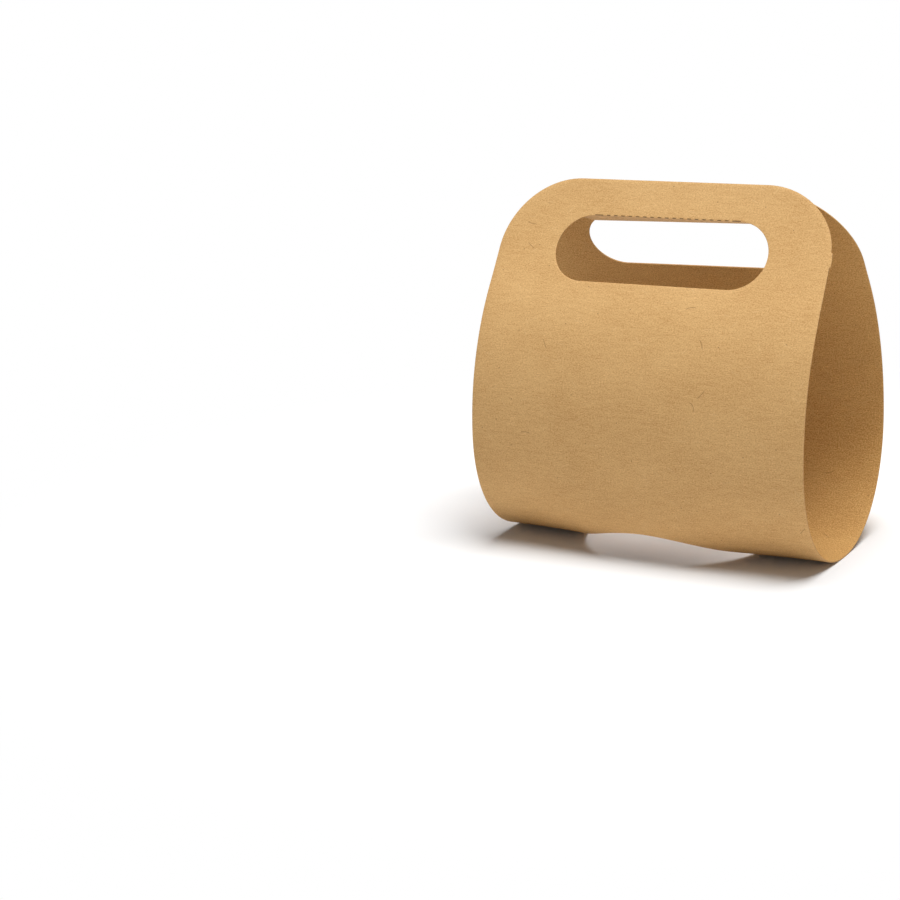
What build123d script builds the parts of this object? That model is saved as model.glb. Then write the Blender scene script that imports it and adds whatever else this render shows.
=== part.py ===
from build123d import *
from math import cos, pi
import os

# Cardboard cup carrier: one die-cut kraft sheet, bent into a loop and locked by a tongue at its handle

# Board, in millimetres
board = 0.5  # thickness of the kraft board
carrier_width = 152  # along the axis of the loop

# Walls of the loop, outside of the board, with the bottom of the loop at height zero
loop_height = 157.5
loop_depth = 96.7  # at the widest place, where the walls stand upright
widest_height = 51
shoulder_share = 0.579  # of the widest depth, left under the handle holes, where a wall's two bends meet
shoulder_drop = 43.3  # below the front top edge
top_gap = 2  # between the two top edges
back_drop = 2  # the back top edge is lower than the front one by this

# Bottom of the loop, which flattens and lifts at the cup
wall_fall = 29  # how far a wall stays upright below the widest place
end_floor = 29  # how far the bottom stays level each way from its middle, at the open ends
cup_floor = 50  # the same at the cup
cup_lift = 1.5
plain_end = 6  # length at each open end that keeps its form

# Openings
cup_hole = 82  # diameter of the cup where it hangs
corner_radius = 33.5
handle_length = 97
handle_height = 30.5
handle_strip = 16.5  # board left above each handle hole

# Locking tongue, the cut-out of the front hole: it goes through the back hole and up behind the back strip
tongue_width = 80
tongue_drop = 5  # from the top of the back hole down to the fold
tongue_clearance = 0.3  # between the tongue and the back strip
tongue_corner = 5
fold_radius = 1.2

# Modelling
sections = 11  # cuts through the board that the bottom is drawn from
cut_margin = 5
punch_reach = 15

half_width = carrier_width / 2
half_depth = loop_depth / 2
half_gap = top_gap / 2
shoulder = half_depth * shoulder_share
shoulder_height = loop_height - shoulder_drop
corner_place = half_width - corner_radius
end_radius = handle_height / 2
half_crease = handle_length / 2 - end_radius
back_height = loop_height - back_drop
round_handle = 0.55  # handle of the curve that makes a quarter circle, for a radius of one


def wall_line(side, height):
    """Outside of one wall, from the widest place, where it is upright, up to the shoulder and the top."""
    bend = TangentArc((side * half_depth, widest_height), (side * shoulder, shoulder_height), tangent=(0, 1))
    TangentArc(bend @ 1, (side * half_gap, height), tangent=bend % 1)


def bottom_line(place, inset=0):
    """Line of the back half of the bottom, from the widest place to the middle, or inside it by an inset.

    It is a curve with two handles, one upright and one level. The level one grows and lifts towards
    the cup, as a squared cosine of the place along the axis of the loop.
    """
    spread = cos(pi / 2 * min(1, abs(place) / (half_width - plain_end))) ** 2
    level = end_floor + (cup_floor - end_floor) * spread - round_handle * inset
    upright = wall_fall - round_handle * inset
    depth = half_depth - inset
    height = cup_lift * spread + inset
    return Bezier((depth, widest_height), (depth, widest_height - upright), (level, height), (0, height))


def wall_section(side, height):
    """Cut through one wall of the board."""
    with BuildSketch(Plane.YZ.offset(-half_width)) as section:
        with BuildLine():
            wall_line(side, height)
            offset(amount=board, side=Side.LEFT if side > 0 else Side.RIGHT)
        make_face()
    return section.sketch


def bottom_section(place):
    """Cut through the back half of the bottom, at one place along the axis of the loop."""
    with BuildSketch(Plane.YZ.offset(place)) as section:
        with BuildLine():
            outside = bottom_line(place)
            inside = bottom_line(place, board)
            Line(outside @ 0, inside @ 0)
            Line(outside @ 1, inside @ 1)
        make_face()
    return section.sketch


def wall_point(side, height, distance):
    """Point of a wall's outside, a distance down from its top edge."""
    with BuildLine(Plane.YZ) as wall:
        wall_line(side, height)
    line = wall.wires()[0]
    return line.position_at(line.length - distance, position_mode=PositionMode.LENGTH)


def panel_punch(top, sill, side):
    """Punch for the two rounded corners and the handle hole of one wall, kept on that wall's side."""
    with BuildPart() as punch:
        with BuildSketch(Plane(origin=top, x_dir=(1, 0, 0), z_dir=(top - sill).cross(Vector(-1, 0, 0)))):
            with Locations((half_width, 0), (-half_width, 0)):
                Rectangle(2 * corner_radius, 2 * corner_radius)
            with Locations((corner_place, -corner_radius), (-corner_place, -corner_radius)):
                Circle(corner_radius, mode=Mode.SUBTRACT)
            with Locations((0, -handle_strip - end_radius)):
                SlotOverall(handle_length, handle_height)
        extrude(amount=punch_reach, both=True)
        split(bisect_by=Plane.XZ, keep=side)
    return punch.solids()


def across(point):
    """Place of a point seen along the axis of the loop."""
    return (point.Y, point.Z)


# The strips of board above the two handle holes, and the sills of the holes
back_top = wall_point(1, back_height, 0)
back_crease = wall_point(1, back_height, handle_strip)
back_sill = wall_point(1, back_height, handle_strip + handle_height)
back_rise = (back_top - back_crease).normalized()
back_out = back_rise.cross(Vector(1, 0, 0))
front_top = wall_point(-1, loop_height, 0)
front_crease = wall_point(-1, loop_height, handle_strip)
front_sill = wall_point(-1, loop_height, handle_strip + handle_height)
front_rise = (front_top - front_crease).normalized()
front_out = front_rise.cross(Vector(-1, 0, 0))

# Tongue: from the crease under the front strip, down and back to its fold, and up behind the back strip
crease = front_crease + (front_rise - front_out) * (board / 2)
fold = back_crease + back_out * (tongue_clearance + board / 2) - back_rise * tongue_drop
free_length = handle_height - (fold - crease).length
free_end = fold + back_rise * free_length
tip_corner = min(tongue_corner, free_length - 2 * fold_radius)  # no more than the free end is long

with BuildPart() as tongue:
    with BuildSketch(Plane.YZ):
        with BuildLine():
            FilletPolyline(across(crease), across(fold), across(free_end), radius=fold_radius)
        trace(line_width=board)
    extrude(amount=tongue_width / 2, both=True)
    # Sides of the tongue next to the crease, which follow the round ends of the handle hole
    with BuildSketch(Plane.XY.offset(fold.Z - cut_margin)):
        with Locations((half_crease + end_radius / 2, crease.Y), (-half_crease - end_radius / 2, crease.Y)):
            Rectangle(end_radius, 2 * end_radius)
        with Locations((half_crease, crease.Y + end_radius), (-half_crease, crease.Y + end_radius)):
            Circle(end_radius, mode=Mode.SUBTRACT)
    extrude(amount=loop_height - fold.Z, mode=Mode.SUBTRACT)
    tip = tongue.faces().sort_by_distance(free_end)[0]
    fillet(tip.edges().sort_by(SortBy.LENGTH)[:2], radius=tip_corner)

# Bottom: its back half, drawn through cuts along the axis of the loop, its front half and the cup hole
with BuildPart() as bottom:
    loft([bottom_section(carrier_width * (k / (sections - 1) - 1 / 2)) for k in range(sections)])
    mirror(about=Plane.XZ)
    with BuildSketch():
        Circle(cup_hole / 2)
    extrude(amount=widest_height, both=True, mode=Mode.SUBTRACT)

# Board: the two walls, the bottom and the tongue, in one piece
with BuildPart() as carrier_board:
    extrude(wall_section(1, back_height), amount=carrier_width)
    extrude(wall_section(-1, loop_height), amount=carrier_width)
    add(panel_punch(front_top, front_sill, Keep.TOP), mode=Mode.SUBTRACT)
    add(panel_punch(back_top, back_sill, Keep.BOTTOM), mode=Mode.SUBTRACT)
    add(bottom.part)
    add(tongue.part)

os.makedirs("parts", exist_ok=True)
carrier_board.part.label = "carrier_board"
export_step(carrier_board.part, "parts/carrier_board.step")
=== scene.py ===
import math
import bpy
import numpy as np
from mathutils import Matrix, Vector


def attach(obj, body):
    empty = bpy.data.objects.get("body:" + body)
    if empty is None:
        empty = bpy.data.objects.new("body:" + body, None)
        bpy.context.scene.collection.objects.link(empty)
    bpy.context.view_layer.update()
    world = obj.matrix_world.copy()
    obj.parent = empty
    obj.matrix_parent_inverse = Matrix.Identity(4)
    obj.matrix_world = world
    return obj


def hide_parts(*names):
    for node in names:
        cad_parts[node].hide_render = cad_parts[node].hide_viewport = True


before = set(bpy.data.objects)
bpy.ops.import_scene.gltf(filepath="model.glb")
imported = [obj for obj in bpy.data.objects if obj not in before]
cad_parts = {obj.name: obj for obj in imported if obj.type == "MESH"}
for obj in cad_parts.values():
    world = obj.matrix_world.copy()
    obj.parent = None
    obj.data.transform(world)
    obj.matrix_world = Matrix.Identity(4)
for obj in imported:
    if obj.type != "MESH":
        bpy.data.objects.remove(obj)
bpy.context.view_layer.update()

# Sizes of the carrier, in millimetres
mm = 0.001
board = 0.5
half_width = 76.0

# Walls of the loop, with its bottom at height zero
half_depth = 48.35
loop_height = 157.5
back_height = 155.5
widest_height = 51.0
shoulder = half_depth * 0.579
shoulder_height = loop_height - 43.3
half_gap = 1.0

# Bottom of the loop, which flattens and lifts round its hole
wall_fall = 29.0
end_floor = 29.0
hole_floor = 50.0
hole_lift = 1.5
plain_end = 6.0
hole_radius = 41.0

# Panels and their handle holes: the back hole is less high, turned a little, and to one side
panel_seam = 60.0
front_corner = 33.5
back_corner = 38.0
handle_strip = 16.5
slot_half = 48.5
end_radius = 15.25
back_end = 14.1
half_crease = slot_half - end_radius
askew_shift = -1.2
askew_turn = 0.023

# Steps that the die left in the front panel's right edge
step_top = 28.3
step_foot = 34.6
step_size = 0.55
step_slope = 0.1

# Edges of the board: rounded all over, and pressed in round the handle holes
edge_round = 0.15
lip_reach = 0.5
lip_depth = 0.12
lip_row = 0.4

# Locking tongue: its neck, the ears behind the back panel, and its fold
neck_left = 43.8
neck_right = 41.2
ear_start = 1.5
tongue_drop = 5.0
tongue_clearance = 0.3
tongue_length = 30.5
fold_radius = 1.2
fold_lift = 0.6
fold_turn = 0.027
crease_bend = 0.4

# Cuts of the perforated crease
perforation = 3.4
end_cut = 2.8

# Nodes of the mesh: about 2 mm apart along the axis, with a column at each end of the crease
corner_nodes = 25
side_nodes = 14
panel_rows = 11
wall_rows = 25
bottom_nodes = 65
bottom_rows = 17
tongue_end_rows = 14
tongue_rows = 44
columns = np.concatenate([
    np.linspace(-half_width, -half_crease, 22),
    np.linspace(-half_crease, half_crease, 34)[1:],
    np.linspace(half_crease, half_width, 22)[1:],
])

# Display colours of the board, 0 to 255, and the share of each colour that the inside keeps, a painted
# shade that makes the inside of the loop darker and more saturated
kraft_dark = (172, 124, 66)
kraft_pale = (232, 192, 133)
strand_dark = (112, 76, 38)
strand_pale = (238, 208, 160)
speck_brown = (92, 58, 26)
cut_brown = (168, 124, 72)
# Dark brown of the perforation cuts: painted shade in the open cuts
cut_shade_brown = (74, 48, 24)
inside_painted_shade = (0.94, 0.90, 0.76, 1.0)

# Weights of the patterns in the board's tone, with more grain on the inside
cloud_weight = 0.35
band_weight = 0.4
fibre_weight = 0.4
grain_weight = 1.5
inside_grain = 0.9


def wall_arcs(height):
    """Turn and radius of a wall's lower arc, and lean and radius of its upper arc."""
    turn = 2 * math.atan2(half_depth - shoulder, shoulder_height - widest_height)
    low_radius = (shoulder_height - widest_height) / math.sin(turn)
    chord = Vector((shoulder - half_gap, height - shoulder_height))
    lean = 2 * math.atan2(chord.x, chord.y) - turn
    top_radius = chord.length / (2 * math.sin((turn - lean) / 2))
    return turn, low_radius, lean, top_radius


def wall_length(height):
    """Length of a wall from its top edge to the widest place: its two arcs added up."""
    turn, low_radius, lean, top_radius = wall_arcs(height)
    return (turn - lean) * top_radius + turn * low_radius


def wall_place(height, distance):
    """Depth and height of a wall's outside, at distances down from its top edge.

    The lean from upright grows evenly with the distance down to the shoulder, on a wide arc, and then
    falls evenly to nothing at the widest place, on a tighter arc. Sine and cosine of the lean, added up
    along the way, are the depth and the fall.
    """
    turn, low_radius, lean, top_radius = wall_arcs(height)
    top_length = (turn - lean) * top_radius
    upper = lean + np.clip(distance, 0, top_length) / top_radius
    lower = turn - np.clip(distance - top_length, 0, turn * low_radius) / low_radius
    top_depth = top_radius * (np.cos(lean) - np.cos(upper))
    low_depth = low_radius * (np.cos(lower) - np.cos(turn))
    top_fall = top_radius * (np.sin(upper) - np.sin(lean))
    low_fall = low_radius * (np.sin(turn) - np.sin(lower))
    return half_gap + top_depth + low_depth, height - top_fall - low_fall


def bottom_place(x, share):
    """Depth and height of the bottom's outside, at a share of the way from the wall to the middle.

    Each cut through the bottom is a cubic curve with an upright handle at the wall and a level one
    at the middle. The level handle grows and lifts towards the hole, as a squared cosine of the
    place along the axis of the loop.
    """
    spread = np.cos(np.pi / 2 * np.minimum(1, np.abs(x) / (half_width - plain_end))) ** 2
    level = end_floor + (hole_floor - end_floor) * spread
    low = hole_lift * spread
    left = 1 - share
    depth = half_depth * (left ** 3 + 3 * left ** 2 * share) + 3 * level * left * share ** 2
    upright = widest_height * left ** 3 + 3 * (widest_height - wall_fall) * left ** 2 * share
    return depth, upright + low * (3 * left * share ** 2 + share ** 3)


back_length = wall_length(back_height)
front_length = wall_length(loop_height)
bottom_line = bottom_place(half_width / 2, np.linspace(0, 1, 400))
bottom_length = float(np.hypot(*np.diff(bottom_line)).sum())
middle = back_length + bottom_length
sheet_length = back_length + 2 * bottom_length + front_length


def sheet_place(x, v):
    """Places of the bent sheet's outside, from flat places: x along the loop's axis, v along the sheet.

    From the back top edge, v runs down the back wall, over the bottom and up the front wall.
    """
    back_depth, back_rise = wall_place(back_height, np.minimum(v, back_length))
    front_depth, front_rise = wall_place(loop_height, np.minimum(sheet_length - v, front_length))
    from_middle = np.clip((v - middle) / bottom_length, -1, 1)
    low_depth, low_rise = bottom_place(x, 1 - np.abs(from_middle))
    low_depth = -np.sign(from_middle) * low_depth
    on_back = v < back_length
    on_front = v > middle + bottom_length
    y = np.where(on_back, back_depth, np.where(on_front, -front_depth, low_depth))
    z = np.where(on_back, back_rise, np.where(on_front, front_rise, low_rise))
    return np.stack([x, y, z], axis=-1)


def sheet_normal(x, v, reach=0.05):
    """Direction out of the bent sheet: square to its way along v, and to the axis of the loop."""
    along = sheet_place(x, v + reach) - sheet_place(x, v - reach)
    along = along / np.linalg.norm(along, axis=-1, keepdims=True)
    return np.stack([0 * x, -along[..., 2], along[..., 1]], axis=-1)


def hole_share(x, depth):
    """Share of the way to the middle where the bottom has a given depth, by halving the span in turn."""
    low = np.zeros_like(x)
    high = np.ones_like(x)
    for _ in range(45):
        half = (low + high) / 2
        deep = bottom_place(x, half)[0] > depth
        low = np.where(deep, half, low)
        high = np.where(deep, high, half)
    return (low + high) / 2


def grid_faces(count, loop, closed):
    """Faces of a grid of rows, each with the same number of nodes, closed round or open."""
    j = np.arange(loop if closed else loop - 1)
    k = np.arange(count - 1)[:, None] * loop
    after = (j + 1) % loop
    return np.stack([k + j, k + loop + j, k + loop + after, k + after], axis=-1).reshape(-1, 4)


def edge_step(d):
    """How far the front panel's right edge lies inside, at a distance from the top.

    The corner's cut ends half a millimetre inside, by a fourth power of the distance. The edge then
    steps out for 6 mm, and in and evenly out again.
    """
    corner_end = step_size * np.clip(d / step_top, 0, 1) ** 4 * (d < step_top)
    below = step_size * np.clip((panel_seam - d) / (panel_seam - step_foot), 0, 1) * (d > step_foot)
    return corner_end + below


def panel_outline(front):
    """Outline of a panel in the flat sheet: place along the axis, and distance from the top edge.

    It is a straight seam, two sides, two quarter circles and a straight top. The front one has more
    nodes at the steps of its right edge.
    """
    corner_radius = front_corner if front else back_corner
    corner = half_width - corner_radius
    steps = np.array([-step_slope, step_slope]) if front else np.empty(0)
    step_angle = np.arcsin(1 - (step_top + steps) / corner_radius)
    angle = np.sort(np.append(np.linspace(0, np.pi / 2, corner_nodes)[1:-1], step_angle))
    side = np.append(np.linspace(panel_seam, corner_radius, side_nodes)[1:], step_foot + steps)
    side = np.sort(side)[::-1]
    side_x = half_width + 0 * side
    top = columns[np.abs(columns) < corner]
    top = np.concatenate([[-corner], top, [corner]])
    arc_x = corner + corner_radius * np.cos(angle)
    arc_d = corner_radius - corner_radius * np.sin(angle)
    x = np.concatenate([columns[::-1], -side_x, -arc_x, top, arc_x[::-1], side_x])
    d = np.concatenate([panel_seam + 0 * columns, side, arc_d, 0 * top, arc_d[::-1], side[::-1]])
    if front:
        x, d = x[::-1], d[::-1]
        x = np.where(x > corner, x - edge_step(d), x)
    return x, d


def panel_patch(front):
    """Top panel: straight lines in the flat sheet, from the handle hole's edge to the panel's outline.

    Each node of the outline goes to the nearest place on the hole's edge, which is a slot with round
    ends. Near the hole the sheet is pressed in, by the square of the way left to its edge, but not at
    the tongue's crease. The back hole sits askew: turned by a small angle, and to one side.
    """
    x, d = panel_outline(front)
    radius = end_radius if front else back_end
    centre_x = np.clip(x, radius - slot_half, slot_half - radius)
    centre_d = handle_strip + end_radius
    reach = np.hypot(x - centre_x, d - centre_d)
    hole_x = centre_x + radius * (x - centre_x) / reach
    hole_d = centre_d + radius * (d - centre_d) / reach
    if front:
        below_crease = np.clip(2 * (hole_d - centre_d) / radius + 2, 0, 1)
    else:
        below_crease = 1
        turned_x = hole_x + askew_turn * (hole_d - centre_d) + askew_shift
        hole_d = hole_d - askew_turn * hole_x
        hole_x = turned_x
    near = lip_reach / (reach - radius)
    out = near + (1 - near) * np.linspace(0, 1, panel_rows)[:, None]
    out = np.concatenate([[0 * near, lip_row * near], out])
    way = np.array([0, lip_row] + [1] * panel_rows)[:, None]
    pressed = lip_depth * (1 - way) ** 2 * below_crease
    x = hole_x + (x - hole_x) * out
    d = hole_d + (d - hole_d) * out
    v = sheet_length - d if front else d
    places = sheet_place(x, v) - pressed[..., None] * sheet_normal(x, v)
    return places, np.stack([x, v], axis=-1), grid_faces(*x.shape, True)


def wall_patch(front):
    """Plain part of a wall, from its top panel to the widest place: an even grid of the flat sheet."""
    d = np.linspace(panel_seam, front_length if front else back_length, wall_rows)
    v = np.sort(sheet_length - d) if front else d
    x, v = np.meshgrid(columns, v)
    return sheet_place(x, v), np.stack([x, v], axis=-1), grid_faces(*x.shape, False)[:, ::-1]


def bottom_patch():
    """Bottom: straight lines in the flat sheet, from its hole, a circle from above, to four seams."""
    side = np.linspace(-1, 1, bottom_nodes)[1:-1] * bottom_length
    seam = 0 * columns + bottom_length
    x = np.concatenate([columns, half_width + 0 * side, columns[::-1], -half_width + 0 * side])
    v = np.concatenate([-seam, side, seam, side[::-1]])
    angle = np.arctan2(v * half_width / bottom_length, x)
    hole_x = hole_radius * np.cos(angle)
    share = hole_share(hole_x, hole_radius * np.abs(np.sin(angle)))
    hole_v = np.sign(v) * bottom_length * (1 - share)
    out = np.linspace(0, 1, bottom_rows)[:, None]
    x = hole_x + (x - hole_x) * out
    v = middle + hole_v + (v - hole_v) * out
    return sheet_place(x, v), np.stack([x, v], axis=-1), grid_faces(*x.shape, True)


def strip_edge(height, side):
    """Lower edge of the strip above a handle hole, and the directions up the strip and out of it."""
    depth, rise = wall_place(height, np.array([0, handle_strip]))
    edge = Vector((side * depth[1], rise[1]))
    up = (Vector((side * depth[0], rise[0])) - edge).normalized()
    return edge, up, Vector((side * up.y, -side * up.x))


def tongue_steps(length, near=4.0, far=5.0):
    """Distances from the crease to the free end: even in the middle, and closer towards both ends."""
    eased = 1 - np.cos(np.linspace(0, np.pi / 2, tongue_end_rows))
    even = np.linspace(near, length - far, tongue_rows)[1:-1]
    return np.concatenate([near * eased, even, length - far * eased[::-1]])


def tongue_patch():
    """Locking tongue: the cut-out of the front hole, hinged at the crease.

    Its line goes straight back from the crease, round the fold on an arc, and up to the free end. It
    leaves the front strip's edge by a share that dies away with the distance. Across, it has the
    outline of the slot it is cut from, with round ends, but for a neck as wide as it finds room in
    the back hole. Past its fold it spreads into two ears behind the panel, which lock it. The fold
    rises from one side to the other, as the back hole does, by a share that grows from the crease
    to the fold.
    """
    front_edge, front_up, front_out = strip_edge(loop_height, -1)
    back_edge, back_up, back_out = strip_edge(back_height, 1)
    crease = front_edge + (front_up - front_out) * (board / 2)
    fold = back_edge + back_out * (tongue_clearance + board / 2) - back_up * tongue_drop
    across = (fold - crease).normalized()
    start = math.atan2(across.y, across.x)
    bend = math.acos(across.dot(back_up))
    cut = fold_radius * math.tan(bend / 2)
    radius = fold_radius + board / 2
    straight = (fold - crease).length - cut
    bent = radius * bend
    free = tongue_length - (fold - crease).length - cut
    length = straight + bent + free

    d = tongue_steps(length)
    along = np.clip(d, 0, straight)
    turned = start + np.clip(d - straight, 0, bent) / radius
    up = np.clip(d - straight - bent, 0, free)
    origin = crease + Vector((across.y, -across.x)) * (board / 2)
    meet = np.exp(-d / crease_bend)
    y = origin.x + across.x * along + radius * (np.sin(turned) - np.sin(start)) + back_up.x * up
    z = origin.y + across.y * along - radius * (np.cos(turned) - np.cos(start)) + back_up.y * up
    y = y + (front_edge.x - origin.x) * meet
    z = z + (front_edge.y - origin.y) * meet

    from_centre = end_radius * (1 - 2 * d / length)
    slot = half_crease + np.sqrt(np.maximum(end_radius ** 2 - from_centre ** 2, 0))
    past_fold = np.clip((d - straight - bent) / ear_start, 0, 1)
    spread = past_fold ** 2 * (3 - 2 * past_fold)
    left = np.minimum(slot, neck_left + (slot_half - neck_left) * spread)[:, None]
    right = np.minimum(slot, neck_right + (slot_half - neck_right) * spread)[:, None]
    u = columns[np.abs(columns) < half_crease + 1e-6] / half_crease
    x = np.where(u < 0, u * left, u * right)
    v = sheet_length - handle_strip - d[:, None] + 0 * x
    rise = (fold_lift + fold_turn * x) * (along / straight)[:, None]
    places = np.stack([x, y[:, None] + back_up.x * rise, z[:, None] + back_up.y * rise], axis=-1)
    return places, np.stack([x, v], axis=-1), grid_faces(*x.shape, False)


def sheet_mesh():
    """Outside of the bent sheet: its patches, joined where they meet, with flat places as a UV map."""
    patches = [
        panel_patch(False), panel_patch(True),
        wall_patch(False), wall_patch(True),
        bottom_patch(), tongue_patch(),
    ]
    counts = np.cumsum([0] + [p[0].shape[0] * p[0].shape[1] for p in patches])
    places = np.concatenate([p[0].reshape(-1, 3) for p in patches])
    flat = np.concatenate([p[1].reshape(-1, 2) for p in patches])
    faces = np.concatenate([p[2] + n for p, n in zip(patches, counts)])
    joined = np.unique(np.round(places, 3), axis=0, return_index=True, return_inverse=True)
    first, same = joined[1], joined[2].reshape(-1)
    mesh = bpy.data.meshes.new("carrier_sheet")
    mesh.from_pydata((places[first] * mm).tolist(), [], same[faces].tolist())
    uv = mesh.uv_layers.new(name="flat_sheet")
    loops = np.empty(len(mesh.loops), dtype=np.int32)
    mesh.loops.foreach_get("vertex_index", loops)
    uv.data.foreach_set("uv", (flat[first][loops] * mm).astype(np.float32).ravel())
    return mesh


def make_board():
    """The whole bent sheet as one piece, with the board's thickness and rounded edges.

    Solidify marks the inside and the cut edges by a material number of their own, which then becomes an
    attribute of the faces that the material reads.
    """
    mesh = sheet_mesh()
    for _ in range(3):
        mesh.materials.append(None)
    piece = bpy.data.objects.new("carrier_sheet", mesh)
    bpy.context.collection.objects.link(piece)
    thick = piece.modifiers.new("thickness", "SOLIDIFY")
    thick.thickness = board * mm
    thick.offset = -1
    thick.use_even_offset = True
    thick.material_offset = 1
    thick.material_offset_rim = 2
    rounded = piece.modifiers.new("rounded_edges", "BEVEL")
    rounded.width = edge_round * mm
    rounded.segments = 2
    rounded.limit_method = "ANGLE"
    rounded.angle_limit = math.radians(60)
    finished = piece.evaluated_get(bpy.context.evaluated_depsgraph_get())
    solid = bpy.data.meshes.new_from_object(finished)
    piece.modifiers.clear()
    piece.data = solid

    kind = np.empty(len(solid.polygons), dtype=np.int32)
    solid.polygons.foreach_get("material_index", kind)
    for number, name in ((1, "inside"), (2, "cut_edge")):
        marked = solid.attributes.new(name, "FLOAT", "FACE")
        marked.data.foreach_set("value", (kind == number).astype(np.float32))
    solid.polygons.foreach_set("material_index", np.zeros(len(kind), dtype=np.int32))
    solid.materials.clear()
    solid.polygons.foreach_set("use_smooth", np.ones(len(kind), dtype=bool))
    solid.set_sharp_from_angle(angle=math.radians(35))
    solid.update()
    return piece


class Nodes:
    """Small helper that adds and joins the nodes of one material."""

    def __init__(self, material):
        material.use_nodes = True
        self.tree = material.node_tree
        self.tree.nodes.clear()

    def add(self, kind, settings=None, **inputs):
        """One node. An input is given by its name, or by i and its number."""
        node = self.tree.nodes.new(kind)
        for name, value in (settings or {}).items():
            setattr(node, name, value)
        for name, value in inputs.items():
            numbered = name[0] == "i" and name[1:].isdigit()
            socket = node.inputs[int(name[1:]) if numbered else name]
            if isinstance(value, bpy.types.NodeSocket):
                self.tree.links.new(value, socket)
            else:
                socket.default_value = value
        return node

    def math(self, operation, *values, clamp=False):
        inputs = {f"i{n}": value for n, value in enumerate(values)}
        settings = {"operation": operation, "use_clamp": clamp}
        return self.add("ShaderNodeMath", settings, **inputs).outputs[0]

    def vector(self, operation, first, second):
        settings = {"operation": operation}
        return self.add("ShaderNodeVectorMath", settings, i0=first, i1=second).outputs[0]

    def mix(self, share, first, second, blend="MIX"):
        settings = {"data_type": "RGBA", "blend_type": blend}
        return self.add("ShaderNodeMix", settings, i0=share, i6=first, i7=second).outputs[2]

    def step(self, value, low, high):
        """Smooth step from nothing at low to one at high."""
        settings = {"interpolation_type": "SMOOTHSTEP"}
        return self.add("ShaderNodeMapRange", settings, i0=value, i1=low, i2=high).outputs[0]

    def fall(self, value, low, high):
        """Smooth step from one at low to nothing at high."""
        return self.math("SUBTRACT", 1.0, self.step(value, low, high))

    def noise(self, place, scale, detail=2.0, rough=0.5):
        node = self.add("ShaderNodeTexNoise", Vector=place, Scale=scale, Detail=detail, Roughness=rough)
        return node.outputs[0]

    def cells(self, place, scale):
        """Random cells, and three random numbers from 0 to 1 for each of them."""
        settings = {"voronoi_dimensions": "2D"}
        cell = self.add("ShaderNodeTexVoronoi", settings, Vector=place, Scale=scale).outputs
        return cell, self.add("ShaderNodeSeparateColor", i0=cell["Color"]).outputs

    def seen(self):
        """One for what the camera sees, straight or by a reflection, and nothing for mere light."""
        paths = self.add("ShaderNodeLightPath").outputs
        bounced = self.math("MAXIMUM", paths["Is Glossy Ray"], paths["Is Transmission Ray"])
        return self.math("MAXIMUM", paths["Is Camera Ray"], bounced)


def linear(colour):
    """Colour for a shader from an ordinary display colour, 0 to 255."""
    part = [c / 255 for c in colour]
    return [c / 12.92 if c <= 0.04045 else ((c + 0.055) / 1.055) ** 2.4 for c in part] + [1.0]


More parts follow.
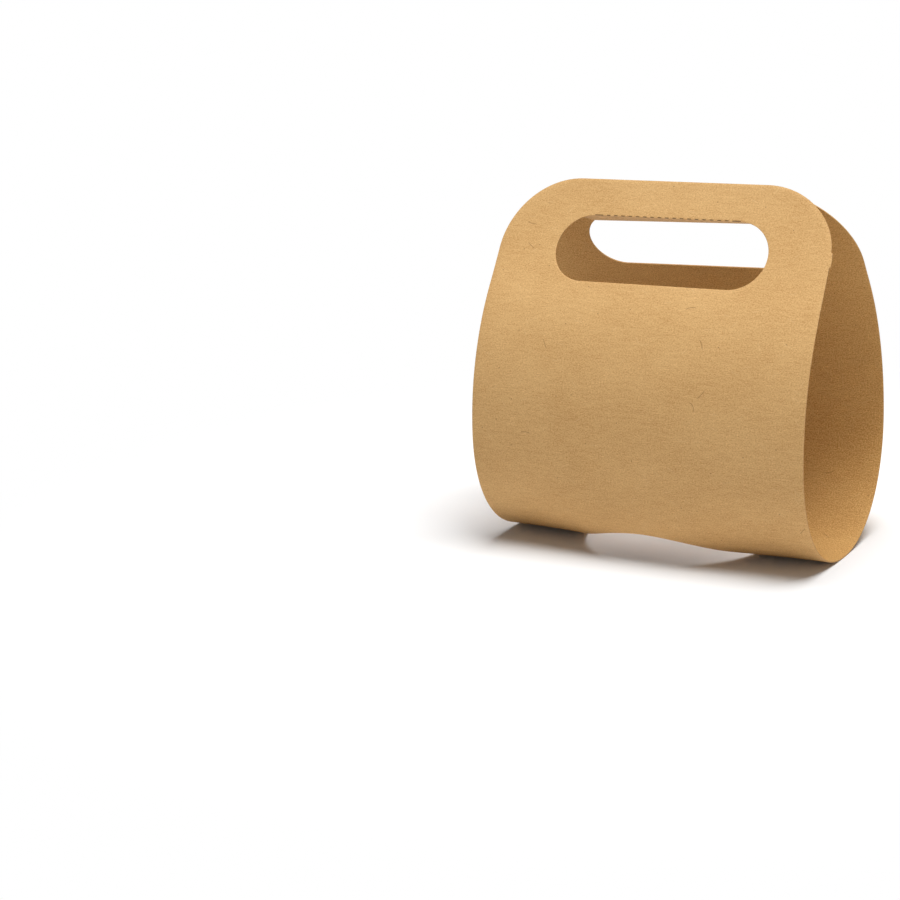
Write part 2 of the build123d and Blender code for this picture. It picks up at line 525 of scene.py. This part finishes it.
def kraft_board():
    """Unbleached kraft board: brown, with fine grain, fibres along the axis, a few strands and specks.

    Each pattern is read from the flat sheet, so that it follows the bends. The inside has its own part
    of it, and a painted shade that makes it darker and more saturated. Clouds, bands, fibres and grain
    are noise at four scales, and their weighted sum is the tone.
    """
    material = bpy.data.materials.new("kraft_board")
    n = Nodes(material)
    flat = n.add("ShaderNodeUVMap", {"uv_map": "flat_sheet"}).outputs[0]
    inside = n.add("ShaderNodeAttribute", {"attribute_name": "inside"}).outputs["Fac"]
    edge = n.add("ShaderNodeAttribute", {"attribute_name": "cut_edge"}).outputs["Fac"]
    shift_x, shift_v = n.math("MULTIPLY", inside, 0.37), n.math("MULTIPLY", inside, 0.61)
    shift = n.add("ShaderNodeCombineXYZ", i0=shift_x, i1=shift_v).outputs[0]
    place = n.vector("ADD", flat, shift)

    def pattern(along, across, detail, rough):
        """Noise, stretched by a scale along the axis and one across it."""
        return n.noise(n.vector("MULTIPLY", place, (along, across, 1.0)), 1.0, detail, rough)

    def strands(scale, share, length, thickness):
        """Short strands at all angles, bent as parabolas, one in a share of the cells."""
        cell, chance = n.cells(place, scale)
        away = n.vector("SUBTRACT", place, cell["Position"])
        turn = n.math("MULTIPLY", n.math("SUBTRACT", chance[0], 0.5), 2.4)
        turned = n.add("ShaderNodeVectorRotate", {"rotation_type": "Z_AXIS"}, Vector=away, Angle=turn)
        axes = n.add("ShaderNodeSeparateXYZ", i0=turned.outputs[0]).outputs
        bend = n.math("MULTIPLY", n.math("SUBTRACT", chance[1], 0.5), 240.0)
        off = n.math("MULTIPLY_ADD", n.math("MULTIPLY", axes[0], axes[0]), bend, axes[1])
        thin = n.fall(n.math("ABSOLUTE", off), thickness * 0.4, thickness)
        short = n.fall(n.math("ABSOLUTE", axes[0]), length * 0.35, length * 0.5)
        there = n.math("LESS_THAN", chance[2], share)
        return n.math("MULTIPLY", n.math("MULTIPLY", thin, short), there)

    def specks(scale, share, radius):
        """Small round specks, one in a share of the cells."""
        cell, chance = n.cells(place, scale)
        dot = n.fall(cell["Distance"], radius * scale * 0.5, radius * scale)
        return n.math("MULTIPLY", dot, n.math("LESS_THAN", chance[0], share))

    def painted(colour, cover, strength, paint):
        """Colour with a paint over it, where it covers, at a strength."""
        return n.mix(n.math("MULTIPLY", cover, strength), colour, linear(paint))

    clouds = pattern(26, 40, 3.0, 0.55)
    bands = pattern(130, 700, 3.0, 0.6)
    fibres = pattern(420, 2000, 2.0, 0.6)
    grain = pattern(1500, 1900, 2.0, 0.7)
    mean = 0.5 - (cloud_weight + band_weight + fibre_weight) / 2
    tone = n.math("MULTIPLY_ADD", clouds, cloud_weight, mean)
    tone = n.math("MULTIPLY_ADD", bands, band_weight, tone)
    tone = n.math("MULTIPLY_ADD", fibres, fibre_weight, tone)
    coarse = n.math("MULTIPLY_ADD", inside, inside_grain, grain_weight)
    tone = n.math("MULTIPLY_ADD", n.math("SUBTRACT", grain, 0.5), coarse, tone, clamp=True)
    colour = n.mix(tone, linear(kraft_dark), linear(kraft_pale))
    colour = painted(colour, strands(70.0, 0.07, 0.005, 0.0002), 0.55, strand_dark)
    colour = painted(colour, strands(150.0, 0.25, 0.004, 0.00018), 0.22, strand_pale)
    colour = painted(colour, specks(140.0, 0.07, 0.0003), 0.7, speck_brown)
    colour = painted(colour, edge, 0.4, cut_brown)
    # Painted shade: the inside of the loop is multiplied darker and more saturated, standing in for the
    # shade inside it
    colour = n.mix(inside, colour, inside_painted_shade, "MULTIPLY")

    # Cuts of the perforated crease: dashes along the top of the front hole, longer at each end, painted
    # dark brown as painted shade in the open cuts
    axes = n.add("ShaderNodeSeparateXYZ", i0=flat).outputs
    crease_v = (sheet_length - handle_strip) * mm
    on_crease = n.fall(n.math("ABSOLUTE", n.math("SUBTRACT", axes[1], crease_v)), 0.0002, 0.00045)
    from_middle = n.math("ABSOLUTE", axes[0])
    phase = n.math("PINGPONG", n.math("DIVIDE", axes[0], perforation * mm), 0.5)
    end_start = (half_crease - end_cut) * mm
    at_end = n.step(from_middle, end_start - 0.0001, end_start + 0.0001)
    dash = n.math("MAXIMUM", n.fall(phase, 0.20, 0.28), at_end)
    within = n.math("LESS_THAN", from_middle, (half_crease + 0.3) * mm)
    cut = n.math("MULTIPLY", n.math("MULTIPLY", on_crease, dash), within)
    colour = painted(colour, cut, 0.85, cut_shade_brown)

    rough = n.math("MULTIPLY_ADD", grain, 0.14, 0.72)
    height = n.math("MULTIPLY_ADD", fibres, 0.5, n.math("MULTIPLY", grain, 0.5))
    height = n.math("SUBTRACT", height, n.math("MULTIPLY", cut, 1.5))
    bump = n.add("ShaderNodeBump", Strength=0.3, Distance=0.00006, Height=height).outputs[0]
    surface = {"Base Color": colour, "Roughness": rough, "Normal": bump, "Specular IOR Level": 0.3}
    shader = n.add("ShaderNodeBsdfPrincipled", **surface).outputs[0]
    n.add("ShaderNodeOutputMaterial", Surface=shader)
    return material


def make_floor(material):
    """Round floor under the carrier: flat rings, wide enough to fill the view."""
    ring = np.array([0.0, 0.2, 0.5, 1.5, 6.0, 30.0])[:, None]
    angle = np.linspace(0, 2 * np.pi, 97)[:-1]
    x = ring * np.cos(angle)
    y = ring * np.sin(angle)
    z = 0 * x - 0.00002
    places = np.stack([x, y, z], axis=-1).reshape(-1, 3)
    mesh = bpy.data.meshes.new("floor")
    mesh.from_pydata(places.tolist(), [], grid_faces(*x.shape, True).tolist())
    mesh.materials.append(material)
    floor = bpy.data.objects.new("floor", mesh)
    bpy.context.collection.objects.link(floor)


def white_floor():
    """White studio floor: it keeps the soft shadow near the carrier and is plain white further out."""
    material = bpy.data.materials.new("white_floor")
    n = Nodes(material)
    place = n.add("ShaderNodeTexCoord").outputs["Object"]
    distance = n.add("ShaderNodeVectorMath", {"operation": "LENGTH"}, i0=place).outputs["Value"]
    far = n.math("MULTIPLY", n.step(distance, 0.12, 0.34), n.seen())
    rough = n.math("MULTIPLY_ADD", n.noise(place, 300.0), 0.05, 0.9)
    matt = n.add("ShaderNodeBsdfDiffuse", Color=(0.93, 0.93, 0.93, 1.0), Roughness=rough).outputs[0]
    white = n.add("ShaderNodeEmission", Color=(1.0, 1.0, 1.0, 1.0), Strength=1.0).outputs[0]
    mixed = n.add("ShaderNodeMixShader", i0=far, i1=matt, i2=white).outputs[0]
    n.add("ShaderNodeOutputMaterial", Surface=mixed)
    return material


def photo_camera():
    """Camera in front of the carrier, to its right and a little above, aimed past its left side."""
    turn, tilt, roll = (math.radians(angle) for angle in (30.84, 15.04, -2.486))
    aim_height, aim_left, aim_low, distance = 0.08229, 0.09839, 0.04112, 0.92112
    right = Vector((math.cos(turn), math.sin(turn), 0))
    back = Vector((-math.sin(turn), math.cos(turn), 0))
    above = Vector((0, 0, 1))
    away = back * math.cos(tilt) - above * math.sin(tilt)
    up = back * math.sin(tilt) + above * math.cos(tilt)
    level = right * math.cos(roll) + up * math.sin(roll)
    upright = up * math.cos(roll) - right * math.sin(roll)
    aim = above * aim_height - level * aim_left - upright * aim_low
    data = bpy.data.cameras.new("photo_camera")
    data.sensor_width = 36
    data.lens = 85.27
    data.clip_end = 100
    camera = bpy.data.objects.new("photo_camera", data)
    camera.matrix_world = Matrix((
        (*level, 0), (*upright, 0), (*-away, 0), (*(aim - away * distance), 1),
    )).transposed()
    bpy.context.collection.objects.link(camera)
    bpy.context.scene.camera = camera


def soft_light(name, place, aim, size, strength):
    """Large square lamp that faces a point of the carrier."""
    data = bpy.data.lights.new(name, "AREA")
    data.shape = "SQUARE"
    data.size = size
    data.energy = strength
    lamp = bpy.data.objects.new(name, data)
    lamp.location = place
    lamp.rotation_euler = (Vector(aim) - Vector(place)).to_track_quat("-Z", "Y").to_euler()
    bpy.context.collection.objects.link(lamp)


def studio():
    """White surroundings, which give little light, and one large soft lamp above, to the right."""
    world = bpy.data.worlds.new("studio")
    n = Nodes(world)
    strength = n.math("MULTIPLY_ADD", n.seen(), 0.86, 0.14)
    white = n.add("ShaderNodeBackground", Color=(1.0, 1.0, 1.0, 1.0), Strength=strength).outputs[0]
    n.add("ShaderNodeOutputWorld", Surface=white)
    bpy.context.scene.world = world
    soft_light("lamp_above", (0.22, -0.10, 1.48), (0, 0, 0.08), 1.0, 30)
    bpy.context.scene.view_settings.view_transform = "Standard"


carrier_sheet = make_board()
carrier_sheet.data.materials.append(kraft_board())
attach(carrier_sheet, "root")
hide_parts("carrier_board")
make_floor(white_floor())
photo_camera()
studio()
